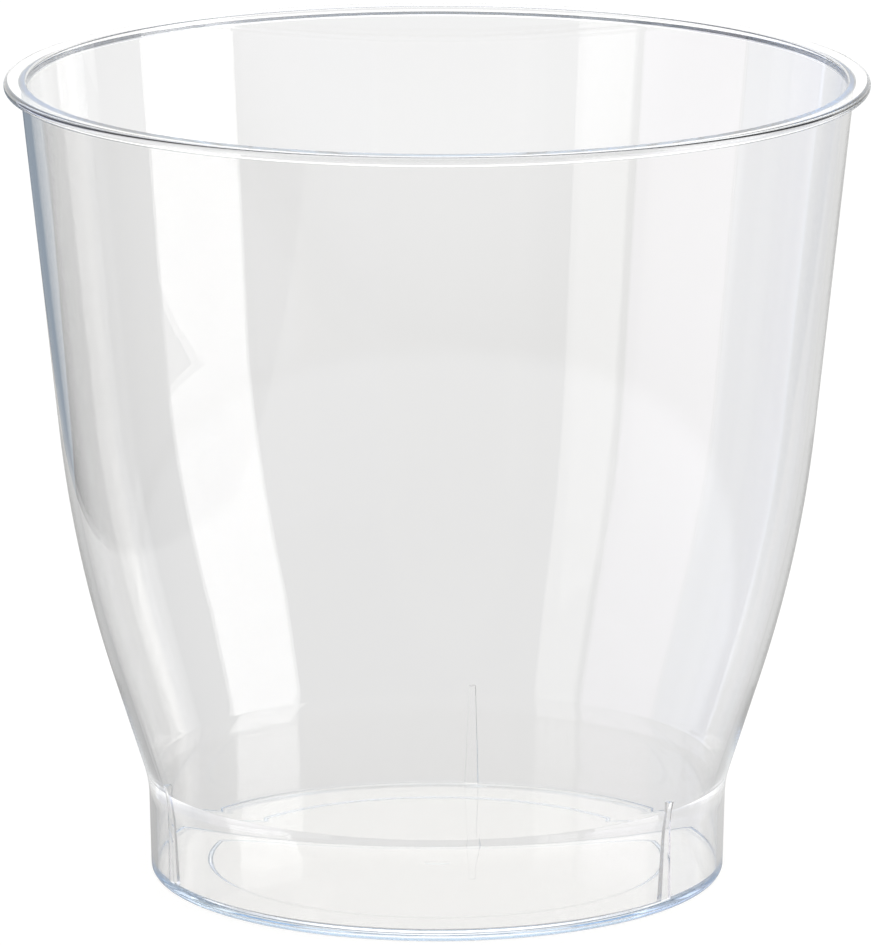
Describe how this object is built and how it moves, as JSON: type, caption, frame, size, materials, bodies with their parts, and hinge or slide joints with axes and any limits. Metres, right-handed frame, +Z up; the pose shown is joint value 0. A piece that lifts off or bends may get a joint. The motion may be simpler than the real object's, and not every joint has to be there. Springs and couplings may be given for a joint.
{
  "type": "dessert bowl",
  "caption": "Clear plastic dessert bowl: a round mouth with a thin flat lip, a wall that narrows in a soft curve to a short straight foot, and stacking ribs inside the foot.",
  "frame": {"origin": "middle of the surface that the bowl stands on", "axes": "+Z up through the mouth; the ribs in the foot stand at -37.5, 82.5 and 202.5 degrees from +X, and -Y faces the viewer of the picture"},
  "size_m": [0.08, 0.08, 0.0754],
  "materials": {
    "clear_plastic": "crystal clear moulded polystyrene, polished on both sides, with a faint blue cast in its edges"
  },
  "bodies": {
    "root": {"bowl": "clear_plastic"}
  },
  "joints": []
}
